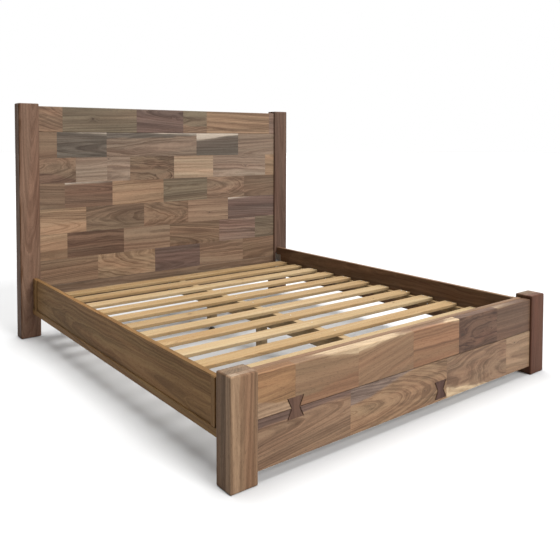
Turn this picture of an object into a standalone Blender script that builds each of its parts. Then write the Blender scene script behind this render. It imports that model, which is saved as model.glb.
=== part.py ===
"""King-size wooden bed frame: posts, headboard, footboard, hooked side rails, slats, centre beam and levelling legs.

Metres, +Z up. The origin is on the floor at the middle of the bed. The footboard is at -Y and the headboard at +Y.
"""

import math

import bmesh
import bpy

NAME = "bed_frame"

# Clearance between two pieces that touch.
GAP = 0.0003

# The deck that the mattress lies on, between the rails and between the posts.
DECK_WIDTH = 1.946
DECK_LENGTH = 2.085
SLAT_SEAT = 0.252

# Side rails, with a raised border of a bottom strip and two end stiles.
RAIL_BOTTOM = 0.152
RAIL_HEIGHT = 0.220
RAIL_THICKNESS = 0.025
BORDER_THICKNESS = 0.006
STRIP_HEIGHT = 0.032
STILE_WIDTH = 0.028
STILE_INSET = 0.045
BORDER_EDGE = 0.0015

# Posts. A lap is how far a post reaches inwards past the inner face of the side rail.
FOOT_POST_WIDTH = 0.122
FOOT_POST_DEPTH = 0.093
FOOT_POST_HEIGHT = 0.418
FOOT_POST_LAP = 0.065
HEAD_POST_WIDTH = 0.126
HEAD_POST_DEPTH = 0.086
HEAD_POST_HEIGHT = 1.465
HEAD_POST_LAP = 0.024
POST_EDGE = 0.006
POST_EDGE_STEPS = 2

# Headboard: courses of planks in front of a backing board, above a lower rail.
COURSE_COUNT = 7
HEAD_RECESS = 0.012
HEAD_PLANK = 0.040
HEAD_BACKING = 0.020
HEAD_TOP_DROP = 0.015
HEAD_RAIL_BOTTOM = 0.150
HEAD_RAIL_HEIGHT = 0.1585

# Footboard: two rows of planks in front of a backing board.
FOOT_RECESS = 0.010
FOOT_PLANK = 0.045
FOOT_BACKING = 0.028
FOOT_TOP_DROP = 0.018
FOOT_PANEL_BOTTOM = 0.045
LOWER_ROW_HEIGHT = 0.188
PANEL_EDGE = 0.004
PANEL_EDGE_STEPS = 2

# Joinery of the panels: end tongues in the posts, and tongues and grooves between the planks.
TONGUE_THICKNESS = 0.014
TONGUE_LENGTH = 0.015
EDGE_TONGUE = 0.008
PAST = 0.010

# Butterfly keys: (name, centre x, centre z), each let into the footboard's face.
KEYS = (("key_left", -0.7235, 0.235), ("key_right", 0.1545, 0.096))
KEY_HEIGHT = 0.082
KEY_END_WIDTH = 0.080
KEY_WAIST = 0.040
KEY_DEPTH = 0.012

# Slats, and the cleats that carry their ends.
SLAT_COUNT = 12
SLAT_WIDTH = 0.085
SLAT_THICKNESS = 0.018
SLAT_SIDE_SLACK = 0.004
SLAT_EDGE = 0.002
CLEAT_WIDTH = 0.028
CLEAT_HEIGHT = 0.045
CLEAT_SETBACK = 0.055

# Centre beam and the steel saddles at its ends.
BEAM_WIDTH = 0.045
BEAM_HEIGHT = 0.090
BEAM_SLACK = 0.001
SADDLE_METAL = 0.003
SADDLE_DEPTH = 0.040

# Centre legs and their levelling feet. The thread's pitch ties the travel to the turn.
LEG_COUNT = 3
LEG_SECTION = 0.050
LEG_EDGE = 0.003
PAD_RADIUS = 0.021
PAD_RIM = 0.006
PAD_HUB_RADIUS = 0.011
PAD_HEIGHT = 0.014
PAD_FLOOR = 0.004
STEM_RADIUS = 0.005
STEM_FOOT_RADIUS = 0.006
STEM_FOOT_HEIGHT = 0.008
STEM_IN_LEG = 0.045
COLLAR_BOTTOM = 0.018
COLLAR_HEIGHT = 0.008
COLLAR_RADIUS = 0.0098
RUNNING_CLEARANCE = 0.0005
ROUND_SIDES = 32

# Bed-rail fasteners: a flat hook plate in the rail and a slotted plate in the post.
HOOK_METAL = 0.003
HOOK_LENGTH = 0.050
HOOK_HEIGHT = 0.110
HOOK_RAISE = 0.055
CLAW_RISES = (0.022, 0.074)
CLAW_NECK = 0.013
CLAW_DROP = 0.008
CLAW_REACH = 0.012
SLOT_SIDE_CLEARANCE = 0.001
PLATE_METAL = 0.003
PLATE_WIDTH = 0.026
PLATE_MARGIN = 0.010
POCKET_CLEARANCE = 0.0015

# What follows from the sizes above.
RAIL_INNER_X = DECK_WIDTH / 2
RAIL_OUTER_X = RAIL_INNER_X + RAIL_THICKNESS
RAIL_TOP = RAIL_BOTTOM + RAIL_HEIGHT
FOOT_FRONT_Y = -(FOOT_POST_DEPTH + DECK_LENGTH + HEAD_POST_DEPTH) / 2
DECK_FOOT_Y = FOOT_FRONT_Y + FOOT_POST_DEPTH
DECK_HEAD_Y = DECK_FOOT_Y + DECK_LENGTH
FOOT_INNER_X = RAIL_INNER_X - FOOT_POST_LAP
HEAD_INNER_X = RAIL_INNER_X - HEAD_POST_LAP
FOOT_FACE_Y = FOOT_FRONT_Y + FOOT_RECESS
FOOT_BACK_Y = FOOT_FACE_Y + FOOT_PLANK + GAP + FOOT_BACKING
FOOT_PANEL_TOP = FOOT_POST_HEIGHT - FOOT_TOP_DROP
FOOT_SPLIT_Z = FOOT_PANEL_BOTTOM + LOWER_ROW_HEIGHT
HEAD_FACE_Y = DECK_HEAD_Y + HEAD_RECESS
HEAD_PANEL_TOP = HEAD_POST_HEIGHT - HEAD_TOP_DROP
HEAD_PANEL_BOTTOM = HEAD_RAIL_BOTTOM + HEAD_RAIL_HEIGHT + GAP
BEAM_TOP = SLAT_SEAT
BEAM_BOTTOM = BEAM_TOP - BEAM_HEIGHT
BEAM_FOOT_Y = FOOT_BACK_Y + GAP + SADDLE_METAL + GAP
BEAM_HEAD_Y = HEAD_FACE_Y - GAP - SADDLE_METAL - GAP
LEG_BOTTOM = COLLAR_BOTTOM + COLLAR_HEIGHT + GAP
HOOK_BOTTOM = RAIL_BOTTOM + HOOK_RAISE
HOOK_X = RAIL_INNER_X + HOOK_METAL / 2

SIDES = (("left", -1), ("right", 1))


def clear_scene():
    for obj in list(bpy.data.objects):
        bpy.data.objects.remove(obj, do_unlink=True)


def new_collection(name):
    made = bpy.data.collections.new(name)
    bpy.context.scene.collection.children.link(made)
    return made


def new_material(name, colour, roughness, metallic=0.0):
    made = bpy.data.materials.new(name)
    made.use_nodes = True
    shader = made.node_tree.nodes["Principled BSDF"]
    shader.inputs["Base Color"].default_value = (*colour, 1.0)
    shader.inputs["Roughness"].default_value = roughness
    shader.inputs["Metallic"].default_value = metallic
    made.diffuse_color = (*colour, 1.0)
    return made


clear_scene()
PARTS = new_collection(NAME)
CUTTERS = new_collection(NAME + "_cutters")

POST_WOOD = new_material("post_wood", (0.23, 0.14, 0.085), 0.50)
HEAD_WOOD = new_material("headboard_wood", (0.20, 0.125, 0.080), 0.50)
FOOT_WOOD = new_material("footboard_wood", (0.31, 0.20, 0.12), 0.48)
KEY_WOOD = new_material("key_wood", (0.090, 0.050, 0.042), 0.45)
RAIL_WOOD = new_material("rail_wood", (0.15, 0.090, 0.050), 0.50)
BORDER_WOOD = new_material("border_wood", (0.20, 0.13, 0.075), 0.50)
BACKING_WOOD = new_material("backing_wood", (0.26, 0.18, 0.11), 0.60)
PLAIN_WOOD = new_material("plain_wood", (0.55, 0.41, 0.26), 0.65)
STEEL = new_material("zinc_steel", (0.55, 0.55, 0.53), 0.38, 1.0)
PAD_PLASTIC = new_material("pad_plastic", (0.035, 0.035, 0.035), 0.55)


def add_empty(name, place, parent=None):
    obj = bpy.data.objects.new(name, None)
    obj.empty_display_size = 0.05
    obj.location = place
    obj.parent = parent
    PARTS.objects.link(obj)
    return obj


ROOT = add_empty(NAME + "_origin", (0.0, 0.0, 0.0))


def add_object(name, data, place, finish=None, parent=None):
    """A part in the parts' collection, or a cutter where it has no finish."""
    obj = bpy.data.objects.new(name, data)
    obj.location = place
    if finish is None:
        CUTTERS.objects.link(obj)
        obj.hide_render = True
        obj.display_type = "WIRE"
        return obj
    PARTS.objects.link(obj)
    obj.parent = parent or ROOT
    data.materials.append(finish)
    return obj


def mesh_from(bm, name):
    mesh = bpy.data.meshes.new(name)
    bm.to_mesh(mesh)
    bm.free()
    return mesh


def middle(low, high):
    return [(a + b) / 2 for a, b in zip(low, high)]


def add_box(name, low, high, finish=None):
    """A box between two corners, with its origin at its middle."""
    bm = bmesh.new()
    bmesh.ops.create_cube(bm, size=1.0)
    bmesh.ops.scale(bm, vec=[b - a for a, b in zip(low, high)], verts=bm.verts)
    return add_object(name, mesh_from(bm, name), middle(low, high), finish)


def add_boxes(name, corners):
    """One cutter made of several boxes that stay clear of each other."""
    bm = bmesh.new()
    for low, high in corners:
        verts = bmesh.ops.create_cube(bm, size=1.0)["verts"]
        bmesh.ops.scale(bm, vec=[b - a for a, b in zip(low, high)], verts=verts)
        bmesh.ops.translate(bm, vec=middle(low, high), verts=verts)
    return add_object(name, mesh_from(bm, name), (0.0, 0.0, 0.0))


def add_cylinder(name, radius, low_z, high_z, x, y, sides=ROUND_SIDES):
    """An upright cylinder, used as a cutter or as a piece to join."""
    bm = bmesh.new()
    bmesh.ops.create_cone(
        bm, cap_ends=True, segments=sides, radius1=radius, radius2=radius, depth=high_z - low_z
    )
    return add_object(name, mesh_from(bm, name), (x, y, (low_z + high_z) / 2))


def add_turned(name, profile, finish, parent):
    """A turned piece: the profile's (radius, height) points run from the axis, down its outer side, to the axis."""
    mesh = bpy.data.meshes.new(name)
    points = [(radius, 0.0, height) for radius, height in profile]
    mesh.from_pydata(points, [(i, i + 1) for i in range(len(points) - 1)], [])
    obj = add_object(name, mesh, (0.0, 0.0, 0.0), finish, parent)
    turn = obj.modifiers.new("turn", "SCREW")
    turn.steps = ROUND_SIDES
    turn.render_steps = ROUND_SIDES
    turn.use_merge_vertices = True
    turn.merge_threshold = 0.00005
    return obj


def add_outline(name, points, thickness, place, rotation, finish=None):
    """A flat closed outline, extruded to a thickness that is centred on its plane."""
    curve = bpy.data.curves.new(name, "CURVE")
    curve.dimensions = "2D"
    curve.fill_mode = "BOTH"
    curve.extrude = thickness / 2
    spline = curve.splines.new("POLY")
    spline.points.add(len(points) - 1)
    for point, (x, y) in zip(spline.points, points):
        point.co = (x, y, 0.0, 1.0)
    spline.use_cyclic_u = True
    obj = add_object(name, curve, place, finish)
    obj.rotation_euler = rotation
    return obj


def as_mesh(obj):
    """The same cutter as a closed mesh."""
    bpy.context.view_layer.update()
    graph = bpy.context.evaluated_depsgraph_get()
    mesh = bpy.data.meshes.new_from_object(obj.evaluated_get(graph))
    bm = bmesh.new()
    bm.from_mesh(mesh)
    bmesh.ops.remove_doubles(bm, verts=bm.verts, dist=0.00005)
    bmesh.ops.recalc_face_normals(bm, faces=bm.faces)
    bm.to_mesh(mesh)
    bm.free()
    name = obj.name
    matrix = obj.matrix_world.copy()
    bpy.data.objects.remove(obj, do_unlink=True)
    made = add_object(name, mesh, (0.0, 0.0, 0.0))
    made.matrix_world = matrix
    return made


def cut(obj, cutter, operation="DIFFERENCE"):
    step = obj.modifiers.new(cutter.name, "BOOLEAN")
    step.operation = operation
    step.solver = "EXACT"
    step.object = cutter


def ease(obj, width, steps=1):
    """Rounds or chamfers the edges that the object has before it is cut."""
    bevel = obj.modifiers.new("eased_edges", "BEVEL")
    bevel.width = width
    bevel.segments = steps
    bevel.limit_method = "ANGLE"
    bevel.angle_limit = math.radians(40)


def between(a, b):
    return min(a, b), max(a, b)


def span(side, inner, outer):
    """The x range from inner to outer, on the left (-1) or on the right (1)."""
    return between(side * inner, side * outer)


def tongue_range(face_y, thickness):
    """The y range of the tongue at the middle of a plank."""
    centre = face_y + thickness / 2
    return centre - TONGUE_THICKNESS / 2, centre + TONGUE_THICKNESS / 2


def make_groove(post, side, inner_x, face_y, thickness, low_z, high_z):
    """The stopped groove in a post's inner side that takes the planks' end tongues."""
    low_y, high_y = tongue_range(face_y, thickness)
    low_x, high_x = span(side, inner_x - PAST, inner_x + TONGUE_LENGTH + GAP)
    low = (low_x, low_y - GAP, low_z - GAP)
    high = (high_x, high_y + GAP, high_z + GAP)
    cut(post, add_boxes(post.name + "_groove", [(low, high)]))


def slots_of(face_y, way, clear, deep):
    """A box round each claw, from the post's face to a depth behind it, with a clearance all round."""
    for rise in CLAW_RISES:
        low_y, high_y = between(face_y - way * PAST, face_y + way * deep)
        low_z = HOOK_BOTTOM + rise - CLAW_DROP - clear
        high_z = HOOK_BOTTOM + rise + CLAW_NECK + CLAW_DROP + clear
        yield low_y, high_y, low_z, high_z


def make_plate_seat(post, side, face_y, way):
    """The shallow seat of the slotted plate in a post, and a pocket behind each of its slots."""
    half = PLATE_WIDTH / 2 + GAP
    low_y, high_y = between(face_y - way * PAST, face_y + way * (PLATE_METAL + GAP))
    low = (side * HOOK_X - half, low_y, HOOK_BOTTOM - PLATE_MARGIN - GAP)
    high = (side * HOOK_X + half, high_y, HOOK_BOTTOM + HOOK_HEIGHT + PLATE_MARGIN + GAP)
    cut(post, add_boxes(post.name + "_plate_seat", [(low, high)]))
    half = HOOK_METAL / 2 + SLOT_SIDE_CLEARANCE + POCKET_CLEARANCE
    deep = CLAW_REACH + PLATE_METAL
    pockets = [
        ((side * HOOK_X - half, low_y, low_z), (side * HOOK_X + half, high_y, high_z))
        for low_y, high_y, low_z, high_z in slots_of(face_y, way, POCKET_CLEARANCE, deep)
    ]
    cut(post, add_boxes(post.name + "_claw_pockets", pockets))


def make_foot_posts():
    for word, side in SIDES:
        low_x, high_x = span(side, FOOT_INNER_X, FOOT_INNER_X + FOOT_POST_WIDTH)
        low = (low_x, FOOT_FRONT_Y, 0.0)
        post = add_box("foot_post_" + word, low, (high_x, DECK_FOOT_Y, FOOT_POST_HEIGHT), POST_WOOD)
        ease(post, POST_EDGE, POST_EDGE_STEPS)
        make_groove(post, side, FOOT_INNER_X, FOOT_FACE_Y, FOOT_PLANK, FOOT_PANEL_BOTTOM, FOOT_PANEL_TOP)
        make_plate_seat(post, side, DECK_FOOT_Y, -1)


def make_head_posts():
    for word, side in SIDES:
        low_x, high_x = span(side, HEAD_INNER_X, HEAD_INNER_X + HEAD_POST_WIDTH)
        high = (high_x, DECK_HEAD_Y + HEAD_POST_DEPTH, HEAD_POST_HEIGHT)
        post = add_box("head_post_" + word, (low_x, DECK_HEAD_Y, 0.0), high, POST_WOOD)
        ease(post, POST_EDGE, POST_EDGE_STEPS)
        make_groove(post, side, HEAD_INNER_X, HEAD_FACE_Y, HEAD_PLANK, HEAD_RAIL_BOTTOM, HEAD_PANEL_TOP)
        make_plate_seat(post, side, DECK_HEAD_Y, 1)


def make_plank(name, inner_x, face_y, thickness, low_z, high_z, finish, groove=False, tongue=False):
    """A plank with a tongue at each end, and on request a groove below and a tongue above."""
    low_y, high_y = tongue_range(face_y, thickness)
    back_y = face_y + thickness
    reach = inner_x + TONGUE_LENGTH
    shoulder = inner_x - GAP
    top = high_z + EDGE_TONGUE if tongue else high_z
    plank = add_box(name, (-reach, face_y, low_z), (reach, back_y, top), finish)
    if not tongue:
        ease(plank, PANEL_EDGE, PANEL_EDGE_STEPS)
    shoulders = []
    for side in (-1, 1):
        low_x, high_x = span(side, shoulder, reach + PAST)
        bottom = (low_x, high_x, low_z - PAST, top + PAST)
        shoulders.append(((bottom[0], face_y - PAST, bottom[2]), (bottom[1], low_y, bottom[3])))
        shoulders.append(((bottom[0], high_y, bottom[2]), (bottom[1], back_y + PAST, bottom[3])))
    cut(plank, add_boxes(name + "_end_shoulders", shoulders))
    if tongue:
        front = ((-reach - PAST, face_y - PAST, high_z), (reach + PAST, low_y, top + PAST))
        back = ((-reach - PAST, high_y, high_z), (reach + PAST, back_y + PAST, top + PAST))
        cut(plank, add_boxes(name + "_top_shoulders", [front, back]))
    if groove:
        low = (-reach - PAST, low_y - GAP, low_z - PAST)
        high = (reach + PAST, high_y + GAP, low_z + EDGE_TONGUE + GAP)
        cut(plank, add_boxes(name + "_groove", [(low, high)]))
    return plank


def make_headboard():
    course = (HEAD_PANEL_TOP - HEAD_PANEL_BOTTOM) / COURSE_COUNT
    for number in range(1, COURSE_COUNT + 1):
        high_z = HEAD_PANEL_TOP - (number - 1) * course
        last = number == COURSE_COUNT
        low_z = high_z - course if last else high_z - course + GAP
        name = f"head_course_{number}"
        make_plank(
            name, HEAD_INNER_X, HEAD_FACE_Y, HEAD_PLANK, low_z, high_z, HEAD_WOOD,
            groove=not last, tongue=number > 1,
        )
    back_y = HEAD_FACE_Y + HEAD_PLANK + GAP
    low = (-HEAD_INNER_X + GAP, back_y, HEAD_PANEL_BOTTOM)
    high = (HEAD_INNER_X - GAP, back_y + HEAD_BACKING, HEAD_PANEL_TOP)
    add_box("head_backing_board", low, high, BACKING_WOOD)
    make_plank(
        "head_lower_rail", HEAD_INNER_X, HEAD_FACE_Y, HEAD_PLANK,
        HEAD_RAIL_BOTTOM, HEAD_RAIL_BOTTOM + HEAD_RAIL_HEIGHT, HEAD_WOOD,
    )


def bow_tie(grow):
    """The butterfly outline round its centre, grown all round by a clearance."""
    half_height = KEY_HEIGHT / 2 + grow
    half_end = KEY_END_WIDTH / 2 + grow
    half_waist = KEY_WAIST / 2 + grow
    right = [(half_end, -half_height), (half_waist, 0.0), (half_end, half_height)]
    return right + [(-x, -y) for x, y in right]


def make_footboard():
    lower = make_plank(
        "foot_plank_lower", FOOT_INNER_X, FOOT_FACE_Y, FOOT_PLANK,
        FOOT_PANEL_BOTTOM, FOOT_SPLIT_Z, FOOT_WOOD, tongue=True,
    )
    upper = make_plank(
        "foot_plank_upper", FOOT_INNER_X, FOOT_FACE_Y, FOOT_PLANK,
        FOOT_SPLIT_Z + GAP, FOOT_PANEL_TOP, FOOT_WOOD, groove=True,
    )
    back_y = FOOT_FACE_Y + FOOT_PLANK + GAP
    low = (-FOOT_INNER_X + GAP, back_y, FOOT_PANEL_BOTTOM)
    high = (FOOT_INNER_X - GAP, FOOT_BACK_Y, FOOT_PANEL_TOP)
    ease(add_box("foot_backing_board", low, high, BACKING_WOOD), PANEL_EDGE, PANEL_EDGE_STEPS)
    upright = (math.radians(90), 0.0, 0.0)
    for name, x, z in KEYS:
        place = (x, FOOT_FACE_Y + KEY_DEPTH / 2, z)
        add_outline(name, bow_tie(0.0), KEY_DEPTH, place, upright, KEY_WOOD)
        depth = KEY_DEPTH + GAP + PAST
        place = (x, FOOT_FACE_Y + KEY_DEPTH + GAP - depth / 2, z)
        pocket = as_mesh(add_outline(name + "_pocket", bow_tie(GAP), depth, place, upright))
        for plank in (lower, upper):
            cut(plank, pocket)


def make_side_rails():
    border_low = RAIL_OUTER_X + GAP
    border_high = RAIL_OUTER_X + BORDER_THICKNESS
    ends = (("foot", DECK_FOOT_Y, 1), ("head", DECK_HEAD_Y, -1))
    for word, side in SIDES:
        low_x, high_x = span(side, RAIL_INNER_X, RAIL_OUTER_X)
        low = (low_x, DECK_FOOT_Y + GAP, RAIL_BOTTOM)
        rail = add_box("side_rail_" + word, low, (high_x, DECK_HEAD_Y - GAP, RAIL_TOP), RAIL_WOOD)
        seats = []
        for _, end_y, way in ends:
            low_x, high_x = span(side, RAIL_INNER_X - PAST, RAIL_INNER_X + HOOK_METAL + GAP)
            low_y, high_y = between(end_y - way * PAST, end_y + way * (GAP + HOOK_LENGTH + GAP))
            low = (low_x, low_y, HOOK_BOTTOM - GAP)
            seats.append((low, (high_x, high_y, HOOK_BOTTOM + HOOK_HEIGHT + GAP)))
        cut(rail, add_boxes(rail.name + "_hook_seats", seats))
        low_x, high_x = span(side, border_low, border_high)
        low = (low_x, DECK_FOOT_Y + GAP, RAIL_BOTTOM)
        high = (high_x, DECK_HEAD_Y - GAP, RAIL_BOTTOM + STRIP_HEIGHT)
        ease(add_box("rail_strip_" + word, low, high, BORDER_WOOD), BORDER_EDGE)
        for end, end_y, way in ends:
            near = end_y + way * STILE_INSET
            low_y, high_y = between(near, near + way * STILE_WIDTH)
            low = (low_x, low_y, RAIL_BOTTOM + STRIP_HEIGHT + GAP)
            stile = add_box(f"rail_stile_{end}_{word}", low, (high_x, high_y, RAIL_TOP), BORDER_WOOD)
            ease(stile, BORDER_EDGE)


def hook_outline(way):
    """The hook plate seen from the side: (distance along the rail, height), with two claws past the rail's end."""
    neck = GAP + PLATE_METAL + GAP
    points = [(HOOK_LENGTH, 0.0), (HOOK_LENGTH, HOOK_HEIGHT), (0.0, HOOK_HEIGHT)]
    for rise in reversed(CLAW_RISES):
        points += [
            (0.0, rise + CLAW_NECK),
            (-CLAW_REACH, rise + CLAW_NECK),
            (-CLAW_REACH, rise - CLAW_DROP),
            (-neck, rise - CLAW_DROP),
            (-neck, rise),
            (0.0, rise),
        ]
    points.append((0.0, 0.0))
    return [(way * along, height) for along, height in points]


def make_rail_fasteners():
    sideways = (math.radians(90), 0.0, math.radians(90))
    for end, face_y, way in (("foot", DECK_FOOT_Y, -1), ("head", DECK_HEAD_Y, 1)):
        for word, side in SIDES:
            place = (side * HOOK_X, face_y - way * GAP, HOOK_BOTTOM)
            points = hook_outline(-way)
            add_outline(f"hook_plate_{end}_{word}", points, HOOK_METAL, place, sideways, STEEL)
            low_y, high_y = between(face_y, face_y + way * PLATE_METAL)
            half = PLATE_WIDTH / 2
            low = (side * HOOK_X - half, low_y, HOOK_BOTTOM - PLATE_MARGIN)
            high = (side * HOOK_X + half, high_y, HOOK_BOTTOM + HOOK_HEIGHT + PLATE_MARGIN)
            plate = add_box(f"post_plate_{end}_{word}", low, high, STEEL)
            half = HOOK_METAL / 2 + SLOT_SIDE_CLEARANCE
            deep = PLATE_METAL + PAST
            slots = [
                ((side * HOOK_X - half, low_y, low_z + CLAW_DROP), (side * HOOK_X + half, high_y, high_z))
                for low_y, high_y, low_z, high_z in slots_of(face_y, way, GAP, deep)
            ]
            cut(plate, add_boxes(plate.name + "_slots", slots))


def make_slats():
    for word, side in SIDES:
        low_x, high_x = span(side, RAIL_INNER_X - GAP - CLEAT_WIDTH, RAIL_INNER_X - GAP)
        low = (low_x, DECK_FOOT_Y + CLEAT_SETBACK, SLAT_SEAT - CLEAT_HEIGHT)
        high = (high_x, DECK_HEAD_Y - CLEAT_SETBACK, SLAT_SEAT)
        add_box("slat_cleat_" + word, low, high, PLAIN_WOOD)
    half = RAIL_INNER_X - SLAT_SIDE_SLACK
    first = DECK_FOOT_Y + CLEAT_SETBACK
    pitch = (DECK_LENGTH - 2 * CLEAT_SETBACK - SLAT_WIDTH) / (SLAT_COUNT - 1)
    low_z = SLAT_SEAT + GAP
    for number in range(SLAT_COUNT):
        low_y = first + number * pitch
        high = (half, low_y + SLAT_WIDTH, low_z + SLAT_THICKNESS)
        slat = add_box(f"slat_{number + 1:02d}", (-half, low_y, low_z), high, PLAIN_WOOD)
        ease(slat, SLAT_EDGE)


def make_saddle(name, wall_y, way):
    """A U-shaped steel hanger on a wall, open at the top and towards the beam."""
    inner = BEAM_WIDTH / 2 + BEAM_SLACK
    outer = inner + SADDLE_METAL
    low_y, high_y = between(wall_y + way * GAP, wall_y + way * (GAP + SADDLE_DEPTH))
    floor = BEAM_BOTTOM - GAP
    low = (-outer, low_y, floor - SADDLE_METAL)
    saddle = add_box(name, low, (outer, high_y, BEAM_TOP - GAP), STEEL)
    low_y, high_y = between(wall_y + way * (GAP + SADDLE_METAL), wall_y + way * (SADDLE_DEPTH + PAST))
    low = (-inner, low_y, floor)
    cut(saddle, add_boxes(name + "_inside", [(low, (inner, high_y, BEAM_TOP + PAST))]))


def make_centre_beam():
    half = BEAM_WIDTH / 2
    low = (-half, BEAM_FOOT_Y, BEAM_BOTTOM)
    add_box("centre_beam", low, (half, BEAM_HEAD_Y, BEAM_TOP), PLAIN_WOOD)
    make_saddle("beam_saddle_foot", FOOT_BACK_Y, 1)
    make_saddle("beam_saddle_head", HEAD_FACE_Y, -1)


def make_leg(number, y):
    """A centre leg with its levelling foot, screwed all the way in."""
    half = LEG_SECTION / 2
    low = (-half, y - half, LEG_BOTTOM)
    leg = add_box(f"centre_leg_{number}", low, (half, y + half, BEAM_BOTTOM - GAP), PLAIN_WOOD)
    ease(leg, LEG_EDGE)
    bore_top = LEG_BOTTOM + STEM_IN_LEG + RUNNING_CLEARANCE
    bore_radius = STEM_RADIUS + RUNNING_CLEARANCE
    cut(leg, add_cylinder(leg.name + "_bore", bore_radius, LEG_BOTTOM - PAST, bore_top, 0.0, y))

    axis = add_empty(f"leveller_{number}_axis", (0.0, y, 0.0), ROOT)
    socket = STEM_FOOT_RADIUS + RUNNING_CLEARANCE
    pad_profile = [
        (0.0, PAD_FLOOR),
        (socket, PAD_FLOOR),
        (socket, PAD_HEIGHT),
        (PAD_HUB_RADIUS, PAD_HEIGHT),
        (PAD_RADIUS, PAD_RIM),
        (PAD_RADIUS, 0.0),
        (0.0, 0.0),
    ]
    add_turned(f"leveller_pad_{number}", pad_profile, PAD_PLASTIC, axis)

    foot_low = PAD_FLOOR + GAP
    foot_high = foot_low + STEM_FOOT_HEIGHT
    stem_profile = [
        (0.0, LEG_BOTTOM + STEM_IN_LEG),
        (STEM_RADIUS, LEG_BOTTOM + STEM_IN_LEG),
        (STEM_RADIUS, foot_high),
        (STEM_FOOT_RADIUS, foot_high),
        (STEM_FOOT_RADIUS, foot_low),
        (0.0, foot_low),
    ]
    stem = add_turned(f"leveller_stem_{number}", stem_profile, STEEL, axis)
    collar_top = COLLAR_BOTTOM + COLLAR_HEIGHT
    collar = add_cylinder(f"collar_{number}", COLLAR_RADIUS, COLLAR_BOTTOM, collar_top, 0.0, y, sides=6)
    cut(stem, collar, "UNION")


def make_legs():
    step = (BEAM_HEAD_Y - BEAM_FOOT_Y) / (LEG_COUNT + 1)
    for number in range(1, LEG_COUNT + 1):
        make_leg(number, BEAM_FOOT_Y + number * step)


def shade_round_pieces():
    for obj in PARTS.objects:
        if obj.name.startswith("leveller_") and obj.type == "MESH":
            obj.data.shade_smooth()
            obj.data.set_sharp_from_angle(angle=math.radians(35))


make_foot_posts()
make_head_posts()
make_headboard()
make_footboard()
make_side_rails()
make_rail_fasteners()
make_slats()
make_centre_beam()
make_legs()
shade_round_pieces()
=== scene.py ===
"""The looks of a king-size bed frame: patchwork hardwood panels, posts, rails, slats and steel fittings.

Every wooden or pressed piece is cut from the solid of the CAD node that it stands for, so sizes and places
stay those of the frame. Screws, threads and ribbed pads are built here, at places taken from the frame.
Metres, +Z up, footboard at -Y, headboard at +Y.
"""

import math
import random
from dataclasses import dataclass

import bmesh
import bpy
from mathutils import Matrix, Vector


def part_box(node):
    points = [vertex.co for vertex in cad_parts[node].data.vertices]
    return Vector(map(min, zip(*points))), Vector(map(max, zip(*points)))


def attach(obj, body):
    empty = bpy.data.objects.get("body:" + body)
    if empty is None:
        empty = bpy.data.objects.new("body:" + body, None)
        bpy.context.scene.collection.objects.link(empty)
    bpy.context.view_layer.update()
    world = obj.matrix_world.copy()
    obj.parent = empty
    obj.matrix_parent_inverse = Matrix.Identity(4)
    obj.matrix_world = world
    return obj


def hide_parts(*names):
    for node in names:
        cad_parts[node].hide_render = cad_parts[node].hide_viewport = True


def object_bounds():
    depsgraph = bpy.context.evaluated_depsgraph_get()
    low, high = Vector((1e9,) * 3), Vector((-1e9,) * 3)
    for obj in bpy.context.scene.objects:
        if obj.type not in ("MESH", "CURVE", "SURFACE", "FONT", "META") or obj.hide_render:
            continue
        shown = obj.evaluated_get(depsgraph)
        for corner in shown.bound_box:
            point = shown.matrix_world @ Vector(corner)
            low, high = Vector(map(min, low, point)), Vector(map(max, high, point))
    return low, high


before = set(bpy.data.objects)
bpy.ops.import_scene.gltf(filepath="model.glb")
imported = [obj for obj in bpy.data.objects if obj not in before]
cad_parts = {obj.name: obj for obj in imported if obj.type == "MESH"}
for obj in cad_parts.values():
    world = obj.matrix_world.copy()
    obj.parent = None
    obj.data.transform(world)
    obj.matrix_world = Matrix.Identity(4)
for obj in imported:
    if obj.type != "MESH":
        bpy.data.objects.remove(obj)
CAD_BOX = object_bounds()

X, Y, Z = 0, 1, 2
SIDES = ("left", "right")
ENDS = ("foot", "head")
SLATS = range(1, 13)
CENTRE_LEGS = (1, 2, 3)


# --------------------------------------------------------------------------------------------------
# Colours. A tone is written as it looks on a lit front face, from 0 to 255, and turned into the wood's own.

# How bright the studio makes a white front face, and what the lacquer's shine adds to it.
LIT = 1.95
GLARE = 0.02
DARKEST = 0.004
WHITE = (1.0, 1.0, 1.0, 1.0)
BLACK = (0.0, 0.0, 0.0, 1.0)

TONES = {
    "cream": (230, 200, 162),
    "bone": (222, 205, 186),
    "straw": (176, 146, 118),
    "tan": (163, 131, 103),
    "honey": (166, 129, 95),
    "rust": (159, 121, 93),
    "oak": (155, 125, 101),
    "rose": (148, 119, 102),
    "lilac": (148, 127, 114),
    "fawn": (149, 125, 105),
    "brown": (142, 113, 90),
    "walnut": (134, 108, 87),
    "umber": (125, 97, 79),
    "bark": (115, 87, 71),
    "cocoa": (104, 76, 56),
    "olive": (131, 112, 91),
    "tawny": (156, 122, 84),
    "sand": (160, 134, 113),
    "slate": (114, 101, 88),
    "plum": (124, 100, 88),
    "wine": (115, 81, 67),
    "key": (119, 90, 75),
    "dark_key": (97, 70, 61),
    "pine": (196, 168, 128),
    "pale_pine": (204, 180, 143),
}


def linear(value):
    """A display value from 0 to 255 as an amount of light."""
    share = value / 255
    return share / 12.92 if share <= 0.04045 else ((share + 0.055) / 1.055) ** 2.4


def tone(name, share=1.0):
    """The wood's own colour, as a share of the named tone."""
    return tuple(max(DARKEST, (linear(c) - GLARE) / LIT * share) for c in TONES[name]) + (1.0,)


# --------------------------------------------------------------------------------------------------
# Node trees.


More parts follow.
